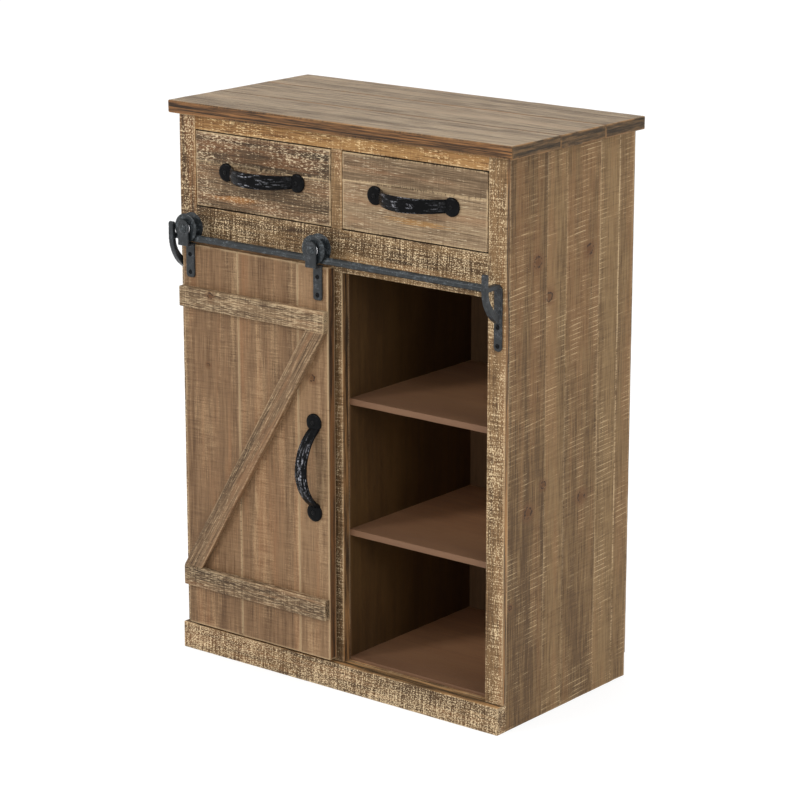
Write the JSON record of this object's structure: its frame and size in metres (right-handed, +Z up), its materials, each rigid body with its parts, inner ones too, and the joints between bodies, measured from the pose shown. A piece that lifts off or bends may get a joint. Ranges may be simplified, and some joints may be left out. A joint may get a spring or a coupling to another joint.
{
  "type": "storage cabinet",
  "caption": "Rustic wooden storage cabinet with drawers over a sliding barn door and an open shelved bay, black iron bow pulls and a roller rail",
  "frame": {"origin": "on the floor, at the middle of the cabinet's outline seen from above (bounding box bottom centre)", "axes": "+Z up, +X to the right seen from the front, the front faces -Y"},
  "size_m": [0.596, 0.344, 0.8],
  "materials": {
    "weathered_top": "rough-sawn softwood boards, grey-brown wash, worn orange-brown edges",
    "frame_wood": "rough-sawn softwood, whitewash rubbed into brown stain",
    "side_board_wood": "rough-sawn upright boards with saw marks and knots, brown stain",
    "drawer_face_wood": "rough-sawn boards with sanded arrises, pale wash",
    "barn_door_wood": "rough-sawn planks, battens and brace, warm brown stain",
    "stained_panel": "plain panel with dark reddish-brown stain",
    "black_iron": "hammered, black lacquer, worn at the high spots",
    "worn_iron": "blue-grey oxide, rubbed bright where the door rolls",
    "dark_screws": "black oxide"
  },
  "bodies": {
    "carcass": {"back_panel": "stained_panel", "bay_divider": "stained_panel", "bay_stile": "frame_wood", "bracket_screws": "dark_screws", "door_rail": "worn_iron", "drawer_deck": "stained_panel", "drawer_partition": "stained_panel", "drawer_stile": "frame_wood", "floor_panel": "stained_panel", "left_drawer_guide": "stained_panel", "left_lower_shelf": "stained_panel", "left_rail_bracket": "black_iron", "left_side_panel": "side_board_wood", "left_stile": "frame_wood", "left_upper_shelf": "stained_panel", "mid_rail": "frame_wood", "plinth": "frame_wood", "right_drawer_guide": "stained_panel", "right_lower_shelf": "stained_panel", "right_rail_bracket": "black_iron", "right_side_panel": "side_board_wood", "right_stile": "frame_wood", "right_upper_shelf": "stained_panel", "top_rail": "frame_wood", "top_slab": "weathered_top"},
    "drawer_left": {"left_drawer_back": "stained_panel", "left_drawer_bottom": "stained_panel", "left_drawer_front": "drawer_face_wood", "left_drawer_left_side": "stained_panel", "left_drawer_pull": "black_iron", "left_drawer_pull_screws": "dark_screws", "left_drawer_right_side": "stained_panel"},
    "drawer_right": {"right_drawer_back": "stained_panel", "right_drawer_bottom": "stained_panel", "right_drawer_front": "drawer_face_wood", "right_drawer_left_side": "stained_panel", "right_drawer_pull": "black_iron", "right_drawer_pull_screws": "dark_screws", "right_drawer_right_side": "stained_panel"},
    "door": {"door_brace": "barn_door_wood", "door_left_plank": "barn_door_wood", "door_lower_batten": "barn_door_wood", "door_middle_plank": "barn_door_wood", "door_pull": "black_iron", "door_pull_screws": "dark_screws", "door_right_plank": "barn_door_wood", "door_upper_batten": "barn_door_wood", "hanger_screws": "dark_screws", "left_hanger": "black_iron", "left_roller_axle": "worn_iron", "right_hanger": "black_iron", "right_roller_axle": "worn_iron"},
    "roller_left": {"left_roller": "worn_iron"},
    "roller_right": {"right_roller": "worn_iron"}
  },
  "joints": [
    {"name": "drawer_left_slide", "type": "slide", "parent": "carcass", "child": "drawer_left", "axis": [0, -1, 0], "range_m": [0, 0.2]},
    {"name": "drawer_right_slide", "type": "slide", "parent": "carcass", "child": "drawer_right", "axis": [0, -1, 0], "range_m": [0, 0.2]},
    {"name": "door_slide", "type": "slide", "parent": "carcass", "child": "door", "axis": [1, 0, 0], "range_m": [0, 0.264]},
    {"name": "roller_left_spin", "type": "hinge", "parent": "door", "child": "roller_left", "pos_m": [-0.248, -0.143, 0.6283], "axis": [0, 1, 0], "range_deg": [0, 1681]},
    {"name": "roller_right_spin", "type": "hinge", "parent": "door", "child": "roller_right", "pos_m": [-0.016, -0.143, 0.6283], "axis": [0, 1, 0], "range_deg": [0, 1681]}
  ],
  "couplings": [
    {"joint": "roller_left_spin", "follows": "door_slide", "rad_per_m": 111.11},
    {"joint": "roller_right_spin", "follows": "door_slide", "rad_per_m": 111.11}
  ]
}
